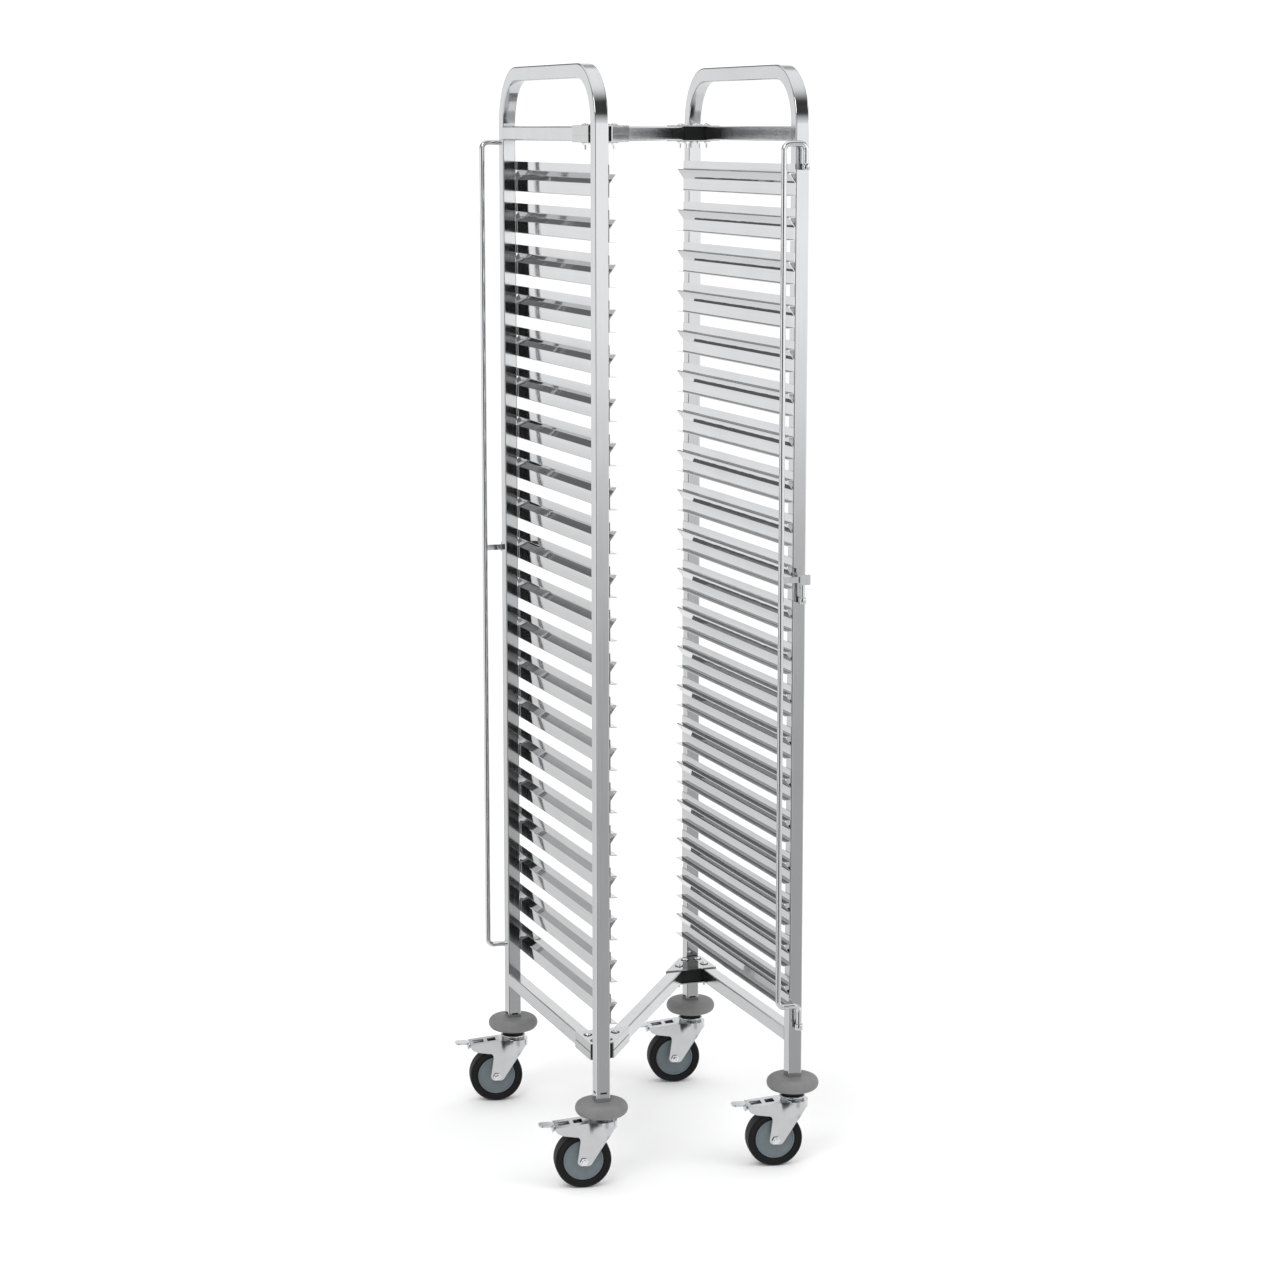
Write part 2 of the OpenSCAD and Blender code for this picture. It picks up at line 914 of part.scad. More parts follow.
// Plastic wheel centre: a dished disc with a rim and a hub
module hub(c)
    color(hub_grey)
        at_wheel(c)
            difference() {
                union() {
                    cylinder(r = hub_r, h = wheel_w - 2 * dish_depth, center = true, $fn = 96);
                    cylinder(r = hub_boss_r, h = 2 * (fork_gap - end_play), center = true);
                }
                for (s = [0, 1])
                    mirror([0, 0, s])
                        translate([0, 0, wheel_w / 2 - 2 * dish_depth])
                            difference() {
                                cylinder(r = hub_r - dish_rim, h = 2 * dish_depth, $fn = 96);
                                translate([0, 0, -over])
                                    cylinder(r = dish_boss_r, h = 2 * dish_depth + 2 * over);
                            }
                cylinder(r = sleeve_r + running, h = 3 * wheel_w, center = true);
            }

// ---------------------------------------------------------------- nodes

for (s = SIDES) side_frame(s);
for (t = TIERS, s = SIDES)
    side_bar(s, t);
for (t = TIERS) diagonal_bar(t);
for (s = SIDES) rails(s);
for (j = JOINTS, t = TIERS, h = SHELLS)
    bracket(j, t, h);
for (t = TIERS) bracket_bolts(t);
corner_connectors();
connector_screws();
for (s = SIDES) retaining_bar(s);
for (s = SIDES) thumb_plate(s);
for (s = SIDES) bar_sockets(s);
for (c = CORNERS) bumper(c);
post_collars();
expander_plugs();
swivel_balls();
for (c = CORNERS) caster_stem(c);
for (c = CORNERS) caster_fork(c);
for (c = CORNERS) caster_axle(c);
for (c = CORNERS) brake_pedal(c);
for (c = CORNERS) tyre(c);
for (c = CORNERS) hub(c);
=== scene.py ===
import json
import math

import bmesh
import bpy
from mathutils import Matrix, Vector

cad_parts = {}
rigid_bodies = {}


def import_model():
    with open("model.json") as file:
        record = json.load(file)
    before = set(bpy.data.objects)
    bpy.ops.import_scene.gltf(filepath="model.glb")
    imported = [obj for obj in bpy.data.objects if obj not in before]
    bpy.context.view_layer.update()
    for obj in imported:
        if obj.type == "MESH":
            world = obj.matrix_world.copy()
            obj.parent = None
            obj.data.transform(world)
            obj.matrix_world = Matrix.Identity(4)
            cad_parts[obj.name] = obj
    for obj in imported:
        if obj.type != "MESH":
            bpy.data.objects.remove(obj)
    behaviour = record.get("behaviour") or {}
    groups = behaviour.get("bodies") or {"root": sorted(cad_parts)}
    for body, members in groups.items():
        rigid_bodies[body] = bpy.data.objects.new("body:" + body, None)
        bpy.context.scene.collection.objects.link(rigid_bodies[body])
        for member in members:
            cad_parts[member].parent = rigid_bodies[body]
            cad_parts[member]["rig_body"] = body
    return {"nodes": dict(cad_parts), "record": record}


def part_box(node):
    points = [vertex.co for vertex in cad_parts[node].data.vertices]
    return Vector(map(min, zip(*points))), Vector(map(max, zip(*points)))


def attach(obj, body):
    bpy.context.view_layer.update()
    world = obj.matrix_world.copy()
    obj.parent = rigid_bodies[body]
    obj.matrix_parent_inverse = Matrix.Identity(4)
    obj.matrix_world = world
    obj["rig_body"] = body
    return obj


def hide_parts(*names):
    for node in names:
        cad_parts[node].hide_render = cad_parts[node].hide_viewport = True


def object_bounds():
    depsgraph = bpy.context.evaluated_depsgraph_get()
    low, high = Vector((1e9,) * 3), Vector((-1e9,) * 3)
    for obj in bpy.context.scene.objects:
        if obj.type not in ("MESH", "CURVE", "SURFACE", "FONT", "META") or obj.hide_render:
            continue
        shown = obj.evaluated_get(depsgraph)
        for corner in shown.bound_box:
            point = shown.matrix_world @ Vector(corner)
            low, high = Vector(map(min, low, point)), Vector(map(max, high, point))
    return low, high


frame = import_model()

cad_low, cad_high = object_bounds()

# Looks of a tray trolley: bent square tube, polished folded rails, plated casters, black
# plastic connectors and grey rubber bumpers. Metres, +Z up. Profiles, and the sizes on a
# caster's own axes, are in mm.

MM = 0.001
UP = Vector((0, 0, 1))
CORNERS = ("front_left", "front_right", "rear_left", "rear_right")
BODY_OF = {name: obj["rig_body"] for name, obj in frame["nodes"].items()}


# ------------------------------------------------------------ sizes

left_low, left_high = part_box("side_frame_left")
right_low, right_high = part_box("side_frame_right")
POST = left_high.x - left_low.x
POST_X = {"left": (left_low.x + left_high.x) / 2, "right": (right_low.x + right_high.x) / 2}
POST_Y = {"front": left_low.y + POST / 2, "rear": left_high.y - POST / 2}
DIAGONAL_TURN = math.atan2(POST_X["right"] - POST_X["left"], POST_Y["rear"] - POST_Y["front"])

# The handle arch bends round two centres, as far in from the top as from the front and rear
ARCH_OUTER_R = 0.1
ARCH_BEND_R = 0.0875  # on the middle line of the tube
ARCH_BEND_Z = left_high.z - ARCH_OUTER_R
ARCH_BEND_Y = left_high.y - ARCH_OUTER_R

# Directions at every caster: along its axle, and from the swivel axis to the wheel
CASTER_YAW = math.radians(10)
AXLE = Vector((-math.sin(CASTER_YAW), -math.cos(CASTER_YAW), 0))
TRAIL = Vector((-math.cos(CASTER_YAW), math.sin(CASTER_YAW), 0))


def foot_of(corner):
    """Where the swivel axis of a caster meets the floor, under its post."""
    end, side = corner.split("_")
    return Vector((POST_X[side], POST_Y[end], 0))


# ------------------------------------------------------------ shader helpers

class Shader:
    """One procedural material, built from nodes in object coordinates."""

    def __init__(self, name, color, metallic, roughness, **fixed):
        self.material = bpy.data.materials.new(name)
        self.material.use_nodes = True
        self.tree = self.material.node_tree
        self.bsdf = self.tree.nodes["Principled BSDF"]
        self.bsdf.inputs["Base Color"].default_value = (*color, 1)
        self.bsdf.inputs["Metallic"].default_value = metallic
        self.bsdf.inputs["Roughness"].default_value = roughness
        for socket, value in fixed.items():
            self.bsdf.inputs[socket.replace("_", " ")].default_value = value
        self.coords = self.new("ShaderNodeTexCoord").outputs

    def new(self, kind):
        return self.tree.nodes.new(kind)

    def link(self, source, target):
        self.tree.links.new(source, target)

    def put(self, node, socket, value):
        """Links a socket to an input, or sets the input to a number."""
        if isinstance(value, bpy.types.NodeSocket):
            self.link(value, node.inputs[socket])
        else:
            node.inputs[socket].default_value = value

    def split(self, coordinates):
        node = self.new("ShaderNodeSeparateXYZ")
        self.link(self.coords[coordinates], node.inputs[0])
        return node.outputs

    def math(self, operation, a, b=0.0, c=0.0):
        node = self.new("ShaderNodeMath")
        node.operation = operation
        for i, value in enumerate((a, b, c)):
            self.put(node, i, value)
        return node.outputs[0]

    def weighted(self, a, share_a, b, share_b):
        return self.math("MULTIPLY_ADD", a, share_a, self.math("MULTIPLY", b, share_b))

    def scaled(self, scale, turn=0.0):
        """Object coordinates, turned about Z and then scaled."""
        node = self.new("ShaderNodeMapping")
        node.vector_type = "TEXTURE"
        node.inputs["Rotation"].default_value = (0, 0, turn)
        self.link(self.coords["Object"], node.inputs["Vector"])
        grow = self.new("ShaderNodeVectorMath")
        grow.operation = "MULTIPLY"
        self.link(node.outputs[0], grow.inputs[0])
        grow.inputs[1].default_value = scale
        return grow.outputs[0]

    def noise(self, vector, detail, rough=0.55):
        node = self.new("ShaderNodeTexNoise")
        self.link(vector, node.inputs["Vector"])
        node.inputs["Scale"].default_value = 1.0
        node.inputs["Detail"].default_value = detail
        node.inputs["Roughness"].default_value = rough
        return node.outputs["Fac"]

    def spread(self, value, low, high, start=0.3, end=0.7):
        """Maps start..end of a value to low..high, clamped."""
        node = self.new("ShaderNodeMapRange")
        self.link(value, node.inputs["Value"])
        ends = (("From Min", start), ("From Max", end), ("To Min", low), ("To Max", high))
        for socket, number in ends:
            node.inputs[socket].default_value = number
        return node.outputs["Result"]

    def blend(self, factor, a, b):
        """Mix of two colours, each an RGB tuple or a socket."""
        node = self.new("ShaderNodeMix")
        node.data_type = "RGBA"
        self.put(node, "Factor", factor)
        for socket, value in ((6, a), (7, b)):
            self.put(node, socket, (*value, 1) if isinstance(value, tuple) else value)
        return node.outputs[2]

    def bump(self, height, distance, below=None):
        node = self.new("ShaderNodeBump")
        node.inputs["Strength"].default_value = 1.0
        node.inputs["Distance"].default_value = distance
        self.link(height, node.inputs["Height"])
        if below:
            self.link(below, node.inputs["Normal"])
        return node.outputs["Normal"]

    def finish(self, color, roughness, normal):
        for socket, source in (("Base Color", color), ("Roughness", roughness), ("Normal", normal)):
            self.link(source, self.bsdf.inputs[socket])
        return self.material


def tinted(color, factor):
    return tuple(channel * factor for channel in color)


# ------------------------------------------------------------ materials

STEEL = (0.64, 0.645, 0.655)
BRIGHT = (0.68, 0.685, 0.695)
BRACKET = (0.56, 0.565, 0.57)
ZINC = (0.65, 0.66, 0.675)
FASTENER = (0.8, 0.81, 0.82)
# Near-black: the scuffed running face of the tyres, and also the painted shade of the dark rings
# round nuts, bolts and pins
SCUFF_AND_SHADE_BLACK = (0.035, 0.035, 0.037)
DUST = (0.3, 0.3, 0.3)
STREAK_SHARE = 0.28  # how fine the visible streaks are, as a share of the finest grain


def tube_vector(shader, coarse, fine):
    """Coordinates along the bent tube of a side frame: fine across, coarse along."""
    x, y, z = shader.split("Object")
    beyond = shader.math("SUBTRACT", shader.math("ABSOLUTE", y), ARCH_BEND_Y)
    above = shader.math("SUBTRACT", z, ARCH_BEND_Z)
    out_y = shader.math("MAXIMUM", beyond, 0.0)
    out_z = shader.math("MAXIMUM", above, 0.0)
    squares = shader.math("ADD", shader.math("POWER", out_y, 2.0), shader.math("POWER", out_z, 2.0))
    radial = shader.math("SQRT", squares)
    turned = shader.math("MULTIPLY", shader.math("ARCTAN2", out_z, out_y), ARCH_BEND_R)
    up_post = shader.math("ADD", shader.math("MINIMUM", above, 0.0), turned)
    along = shader.math("SUBTRACT", up_post, shader.math("MINIMUM", beyond, 0.0))
    join = shader.new("ShaderNodeCombineXYZ")
    shader.link(shader.math("MULTIPLY", x, fine), join.inputs[0])
    shader.link(shader.math("MULTIPLY", radial, fine), join.inputs[1])
    shader.link(shader.math("MULTIPLY", along, coarse), join.inputs[2])
    return join.outputs[0]


def grain_round_arch(shader):
    return tube_vector(shader, 5.0, 420.0), tube_vector(shader, 16.0, 1500.0)


def grain_along(axis, turn=0.0, fine=1600.0, coarse=6.0):
    """Coordinates of streaks and of finer grain on straight stock that runs along an axis."""
    def build(shader):
        streaks = [fine * STREAK_SHARE] * 3
        grain = [fine] * 3
        streaks[axis] = coarse
        grain[axis] = coarse * 3
        return shader.scaled(streaks, turn), shader.scaled(grain, turn)
    return build


def brushed(name, color, roughness, streaks, wave=0.00004, grain=0.000012):
    """Stainless steel with a directional grain, cloudy polish and a slight waviness."""
    shader = Shader(name, color, 1.0, roughness)
    streak_vector, fine_vector = streaks(shader)
    streak = shader.noise(streak_vector, detail=4)
    fine = shader.noise(fine_vector, detail=2)
    cloud = shader.noise(shader.scaled((9, 9, 5)), detail=2)
    handled = shader.noise(shader.scaled((38, 38, 30)), detail=4, rough=0.62)
    tone = shader.spread(shader.weighted(streak, 0.5, cloud, 0.5), 0, 1, 0.35, 0.65)
    color_out = shader.blend(tone, tinted(color, 0.95), tinted(color, 1.03))
    gloss = shader.weighted(streak, 0.5, handled, 0.5)
    rough_out = shader.spread(gloss, roughness * 0.8, roughness * 1.25, 0.35, 0.65)
    swell = shader.bump(shader.noise(shader.scaled((16, 16, 7)), detail=1), wave * 6)
    normal = shader.bump(fine, grain, below=shader.bump(streak, grain * 2, below=swell))
    return shader.finish(color_out, rough_out, normal)


def zinc_plate(name, color, roughness):
    """Zinc plating on pressed steel: soft mottling, faint spangle and handling marks."""
    shader = Shader(name, color, 1.0, roughness)
    mottle = shader.noise(shader.scaled((60, 60, 60)), detail=5, rough=0.6)
    speck = shader.noise(shader.scaled((420, 420, 420)), detail=2)
    drawn = shader.noise(shader.scaled((150, 150, 700)), detail=2)
    color_out = shader.blend(shader.spread(mottle, 0, 1), tinted(color, 0.95), tinted(color, 1.03))
    worn = shader.weighted(mottle, 0.6, speck, 0.4)
    rough_out = shader.spread(worn, roughness * 0.85, roughness * 1.2)
    pressed = shader.bump(drawn, 0.000006, below=shader.bump(mottle, 0.00003))
    normal = shader.bump(speck, 0.000008, below=pressed)
    return shader.finish(color_out, rough_out, normal)


def moulded_nodes(name, color, roughness, dust, grain=900.0, **fixed):
    """Moulded plastic or rubber: fine grain, uneven sheen and a little dust on top."""
    shader = Shader(name, color, 0.0, roughness, **fixed)
    fine = shader.noise(shader.scaled((grain,) * 3), detail=3)
    flow = shader.noise(shader.scaled((70, 70, 45)), detail=4, rough=0.6)
    upward = shader.split("Normal")[2]
    lying = shader.spread(upward, 0, dust, 0.3, 1.0)
    settled = shader.math("MULTIPLY", lying, shader.spread(flow, 0.3, 1))
    base = shader.blend(shader.spread(flow, 0, 1), tinted(color, 0.93), tinted(color, 1.06))
    color_out = shader.blend(settled, base, DUST)
    sheen = shader.weighted(fine, 0.4, flow, 0.6)
    rough_out = shader.spread(sheen, roughness * 0.82, min(1.0, roughness * 1.2))
    normal = shader.bump(fine, 0.00006, below=shader.bump(flow, 0.00018))
    return shader, color_out, rough_out, normal


def moulded(*values, **fixed):
    shader, color_out, rough_out, normal = moulded_nodes(*values, **fixed)
    return shader.finish(color_out, rough_out, normal)


def tyre_material():
    """Black rubber, with a lighter and rougher running face."""
    shader, color_out, rough_out, normal = moulded_nodes(
        "tyre_rubber_black", (0.005, 0.005, 0.006), 0.55, 0.01, 800.0, Specular_IOR_Level=0.25)
    facing = shader.new("ShaderNodeVectorMath")
    facing.operation = "DOT_PRODUCT"
    shader.link(shader.coords["Normal"], facing.inputs[0])
    facing.inputs[1].default_value = AXLE
    side = shader.math("ABSOLUTE", facing.outputs["Value"])
    scuff = shader.noise(shader.scaled((90, 90, 90)), detail=5, rough=0.65)
    running = shader.spread(side, 1, 0, 0.35, 0.75)
    tread = shader.math("MULTIPLY", running, shader.spread(scuff, 0.6, 1))
    tread_rough = shader.math("MULTIPLY_ADD", tread, 0.2, rough_out)
    return shader.finish(shader.blend(tread, color_out, SCUFF_AND_SHADE_BLACK), tread_rough, normal)


arch_steel = brushed("tube_steel_arch", STEEL, 0.11, grain_round_arch)
side_bar_steel = brushed("tube_steel_side", STEEL, 0.17, grain_along(1))
diagonal_steel = brushed("tube_steel_diagonal", STEEL, 0.17, grain_along(1, -DIAGONAL_TURN))
rail_steel = brushed("rail_steel_polished", BRIGHT, 0.05, grain_along(1, fine=900.0, coarse=4.0),
                     wave=0.00006, grain=0.000006)
bracket_steel = brushed("bracket_steel_polished", BRACKET, 0.08,
                        grain_along(1, fine=700.0, coarse=30.0), wave=0.0001)
bar_steel = brushed("bar_steel_rod", BRIGHT, 0.16, grain_along(2, fine=1200.0, coarse=8.0))
caster_steel = zinc_plate("caster_steel_plated", ZINC, 0.2)
bright_fastener = zinc_plate("fastener_steel_bright", FASTENER, 0.09)
# Near-black rings are painted shade, put where the plated nuts, bolts and pins show dark gaps and
# outlines
shade_ring_paint = zinc_plate("shade_rings_painted_dark", SCUFF_AND_SHADE_BLACK, 0.45)
race_steel = brushed("race_steel_chrome", BRIGHT, 0.1, grain_along(2, fine=900.0, coarse=900.0))
black_plastic = moulded("black_plastic_moulded", (0.006, 0.006, 0.007), 0.45, 0.02,
                        Specular_IOR_Level=0.3)
bumper_rubber = moulded("bumper_rubber_grey", (0.18, 0.18, 0.18), 0.5, 0.12, 700.0,
                        Specular_IOR_Level=0.35)
hub_plastic = moulded("hub_plastic_blue_grey", (0.125, 0.150, 0.163), 0.42, 0.04, 1100.0,
                      Specular_IOR_Level=0.4)
tyre_rubber = tyre_material()

SLOT_MATERIALS = {
    "tube_steel": arch_steel,
    "rail_steel": rail_steel,
    "bracket_steel": bracket_steel,
    "bar_steel": bar_steel,
    "fastener_steel": bright_fastener,
    "caster_steel": caster_steel,
    "race_steel": race_steel,
    "black_plastic": black_plastic,
    "bumper_rubber": bumper_rubber,
    "tyre_rubber": tyre_rubber,
    "hub_plastic": hub_plastic,
}
# Nodes that don't look like the rest of their slot, by the start of their name
BY_PREFIX = (
    ("side_bar", side_bar_steel),
    ("diagonal_bar", diagonal_steel),
    ("thumb_plate", bar_steel),
)


def dress(obj, material):
    obj.data.materials.clear()
    obj.data.materials.append(material)
    for polygon in obj.data.polygons:
        polygon.material_index = 0


for part in frame["record"]["subparts"]:
    material = SLOT_MATERIALS[part["material_slot"]]
    for prefix, special in BY_PREFIX:
        if part["node"].startswith(prefix):
            material = special
    dress(frame["nodes"][part["node"]], material)


# ------------------------------------------------------------ edges of the CAD nodes

def add_bevel(obj, name, width, segments, angle):
    """Rounds the edges of a piece that are sharper than an angle in degrees."""
    bevel = obj.modifiers.new(name, "BEVEL")
    bevel.width = width
    bevel.segments = segments
    bevel.limit_method = "ANGLE"
    bevel.angle_limit = math.radians(angle)
    bevel.harden_normals = True
    bevel.use_clamp_overlap = True


def round_edges(obj, width, segments):
    """Rounds the sharp edges of a CAD node with modifiers, so that they catch the light."""
    weld = obj.modifiers.new("weld", "WELD")
    weld.merge_threshold = 0.00001
    flat = obj.modifiers.new("flat", "DECIMATE")
    flat.decimate_type = "DISSOLVE"
    flat.angle_limit = math.radians(1)
    add_bevel(obj, "bevel", width, segments, 30)


# Start of the node's name, width of the rounding and its segments
ROUNDED = (
    ("bracket_", 0.0012, 3),
    ("side_bar", 0.0006, 2),
    ("diagonal_bar", 0.0006, 2),
    ("thumb_plate", 0.0005, 2),
    ("bar_sockets", 0.0006, 2),
    ("caster_axle", 0.0006, 2),
    ("brake_pedal", 0.0008, 3),
    ("corner_connectors", 0.0008, 2),
    ("post_collars", 0.0008, 2),
)
for name, obj in frame["nodes"].items():
    for prefix, width, segments in ROUNDED:
        if name.startswith(prefix) and not name.startswith("bracket_bolts"):
            round_edges(obj, width, segments)


# ------------------------------------------------------------ refined pieces

def new_object(name, data):
    obj = bpy.data.objects.new(name, data)
    bpy.context.scene.collection.objects.link(obj)
    return obj


def mesh_from(bm, name):
    """Makes a mesh of a bmesh, which it frees."""
    mesh = bpy.data.meshes.new(name)
    bm.to_mesh(mesh)
    bm.free()
    return mesh


def make_piece(name, mesh, node, material, sharp=35):
    """Makes the object of a refined piece, which rides on the body of a CAD node."""
    obj = new_object(name, mesh)
    mesh.materials.append(material)
    for polygon in mesh.polygons:
        polygon.use_smooth = True
    mesh.set_sharp_from_angle(angle=math.radians(sharp))
    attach(obj, BODY_OF[node])
    return obj


# ---- folded sheet rails

# Middle line of the sheet in mm, across from the web's outer face and up from the ledge's top:
# the web above, the ledge, the brace back to the web, the web below and the lip
RAIL_SHEET = 1.2
RAIL_LINE = [Vector(p) for p in
             ((0.6, 15), (0.6, -0.6), (12.5, -0.6), (0.6, -17.4), (0.6, -38.9), (13, -38.9))]
RAIL_RADII = (1.3, 0.8, 2.4, 1.4)
RAIL_ABOVE, RAIL_BELOW = 0.015, 0.0395
RAIL_PITCH = 0.075
BEND_STEPS = 6


def filleted(points, radii):
    """Points of a plane line with its inner corners rounded."""
    line = [points[0]]
    for before, corner, after, radius in zip(points, points[1:], points[2:], radii):
        a = (before - corner).normalized()
        b = (after - corner).normalized()
        half_angle = a.angle(b) / 2
        reach = radius / math.tan(half_angle)
        middle = corner + (a + b).normalized() * radius / math.sin(half_angle)
        start = corner + a * reach - middle
        end = corner + b * reach - middle
        turn = start.angle_signed(end)
        for i in range(BEND_STEPS + 1):
            line.append(middle + Matrix.Rotation(-turn * i / BEND_STEPS, 2) @ start)
    line.append(points[-1])
    return line


def folded_section(line, thickness):
    """Closed outline of a sheet whose middle follows the line."""
    sides = ([], [])
    for i, point in enumerate(line):
        before = line[max(i - 1, 0)]
        after = line[min(i + 1, len(line) - 1)]
        along = (after - before).normalized()
        across = Vector((-along.y, along.x)) * thickness / 2
        sides[0].append(point + across)
        sides[1].append(point - across)
    return sides[0] + sides[1][::-1]


def rail_mesh(side):
    """All the folded rails of one side, with rounded bends."""
    section = folded_section(filleted(RAIL_LINE, RAIL_RADII), RAIL_SHEET)
    low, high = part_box("rails_" + side)
    inward = 1 if side == "left" else -1
    web_x = low.x if side == "left" else high.x
    levels = round((high.z - low.z - RAIL_ABOVE - RAIL_BELOW) / RAIL_PITCH) + 1
    bm = bmesh.new()
    for level in range(levels):
        ledge_z = high.z - RAIL_ABOVE - level * RAIL_PITCH
        rings = []
        for y in (low.y, high.y):
            rings.append([bm.verts.new((web_x + inward * p.x * MM, y, ledge_z + p.y * MM))
                          for p in section])
        bm.faces.new(rings[0])
        bm.faces.new(rings[1][::-1])
        for i in range(len(section)):
            j = (i + 1) % len(section)
            bm.faces.new((rings[0][i], rings[1][i], rings[1][j], rings[0][j]))
    bmesh.ops.recalc_face_normals(bm, faces=bm.faces)
    return mesh_from(bm, "folded_rails_" + side)


for side in ("left", "right"):
    node = "rails_" + side
    rails = make_piece("folded_" + node, rail_mesh(side), node, rail_steel)
    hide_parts(node)


# ---- turned pieces: tyres and hubs

def lathe_mesh(name, profile, place, axis, steps=96):
    """Turned form: (radius, offset along the axis) pairs in mm, closed into a ring."""
    axis = axis.normalized()
    first = axis.orthogonal().normalized()
    second = axis.cross(first)
    bm = bmesh.new()
    rings = []
    for i in range(steps):
        angle = 2 * math.pi * i / steps
        out = first * math.cos(angle) + second * math.sin(angle)
        rings.append([bm.verts.new(place + (out * r + axis * h) * MM) for r, h in profile])
    for i in range(steps):
        a, b = rings[i], rings[(i + 1) % steps]
        for k in range(len(profile)):
            m = (k + 1) % len(profile)
            bm.faces.new((a[k], b[k], b[m], a[m]))
    bmesh.ops.recalc_face_normals(bm, faces=bm.faces)
    return mesh_from(bm, name)


def turned_piece(name, profile, node, material, axis, place=None):
    """Turned form on the body of a CAD node, in the middle of its box or at a place."""
    if place is None:
        low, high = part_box(node)
        place = (low + high) / 2
    return make_piece(name, lathe_mesh(name, profile, place, axis), node, material)


def arc(r0, h0, radius, start, end, steps=6):
    """Points of an arc in a turned profile, angles in degrees."""
    points = []
    for i in range(steps + 1):
        angle = math.radians(start + (end - start) * i / steps)
        points.append((r0 + radius * math.cos(angle), h0 + radius * math.sin(angle)))
    return points


def mirrored(profile):
    return profile + [(r, -h) for r, h in reversed(profile)]


# Tyre: flat tread with soft shoulders, a raised sidewall bead and a groove beside the hub
TYRE = mirrored([(50, 0), (49.95, 5), (49.7, 10)] + arc(45.8, 12.1, 3.9, 8, 80)
                + [(44.2, 15.9), (43.2, 15.4), (42.2, 15.3), (39.2, 15.3)]
                + arc(38.6, 14.7, 0.6, 90, 180, 3)
                + [(37.9, 12.9), (36.6, 12.4), (35.35, 12.4), (35.35, 6)])
# Hub: rim, shallow dish with a step, and a boss round the axle sleeve
HUB = mirrored([(35.25, 0), (35.25, 13.6)] + arc(34.4, 13.65, 0.85, 0, 90, 4)
               + [(33.2, 14.5), (32.6, 14.2), (32.2, 13.4), (31.2, 13.1), (24, 12.9), (20, 12.9),
                  (19.2, 13.3), (17, 13.5), (14.2, 13.9), (11.2, 16.4), (10.6, 17.1), (6.1, 17.15)])

for corner in CORNERS:
    tyre = turned_piece("ribbed_tyre_" + corner, TYRE, "tyre_" + corner,
                        tyre_rubber, AXLE)
    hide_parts("tyre_" + corner)
    hub = turned_piece("dished_hub_" + corner, HUB, "hub_" + corner,
                       hub_plastic, AXLE)
    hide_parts("hub_" + corner)


# ---- caster forks, pressed from sheet

# In mm on the caster's own axes: X from the swivel axis to the wheel, Y across, Z up from the
# floor. The sizes down to FORK_SHEET repeat part.scad's or follow from them, so a change there is
# made here too.
WHEEL_X, WHEEL_Z = 34.0, 50.0
PEDAL_X, PEDAL_Z = 40.0, 108.0
LEG_Y = 20.0  # outer face of a leg, and radius of the nose
NOSE_X = -5.0  # axis of the nose's round
TAIL_X = 84.0
CROWN_R = 25.0
RACE_RISE = 3.0
FORK_SHEET = 2.5
CROWN_TOP = round(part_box("caster_fork_front_left")[1].z / MM - RACE_RISE, 3)
TAIL_TOP = CROWN_TOP - 6.5

QUARTER = math.pi / 2 * LEG_Y  # length of the skin from the middle of the nose to a flat leg
BULGE_LOW = 88  # the crown bulges out from here up, and fades along X
BULGE_HEIGHT = CROWN_TOP - 90
FADE_START, FADE_END = 6.0, 26.0
FOOT_R, FOOT_Z = 9.0, WHEEL_Z + 1
FOOT_BACK, FOOT_FRONT = WHEEL_X - 6.5, WHEEL_X + 2.5
NOTCH_R, NOTCH_X, NOTCH_Z = 6.6, WHEEL_X + 13, WHEEL_Z + 38.5
PLATE_HOLES = ((34, 50), (57, 77))
HOLE_Y = 10
FOLD_STEP = 3.1
CLOSE = 0.01


def smooth_step(value):
    value = min(max(value, 0), 1)
    return value * value * (3 - 2 * value)


def unrolled(x):
    """Length along the fork's skin from the middle of its nose to a place on its side."""
    if x >= NOSE_X:
        return QUARTER + x - NOSE_X
    return LEG_Y * math.acos((NOSE_X - x) / LEG_Y)


def skin_point(u, z):
    """Place of a point of the skin: flat legs, a round nose and a crown that bulges out above."""
    sign = -1 if u < 0 else 1
    u = abs(u)
    if u >= QUARTER:
        x, y = NOSE_X + u - QUARTER, LEG_Y
    else:
        x, y = NOSE_X - LEG_Y * math.cos(u / LEG_Y), LEG_Y * math.sin(u / LEG_Y)
    bulge = math.sqrt(max(CROWN_R ** 2 - x * x, 0)) - y
    if x > FADE_START:
        widest = math.sqrt(CROWN_R ** 2 - FADE_START ** 2) - LEG_Y
        bulge = widest * smooth_step((FADE_END - x) / (FADE_END - FADE_START))
    rise = smooth_step((z - BULGE_LOW) / BULGE_HEIGHT)
    return Vector((x, sign * (y + max(bulge, 0) * rise), z))


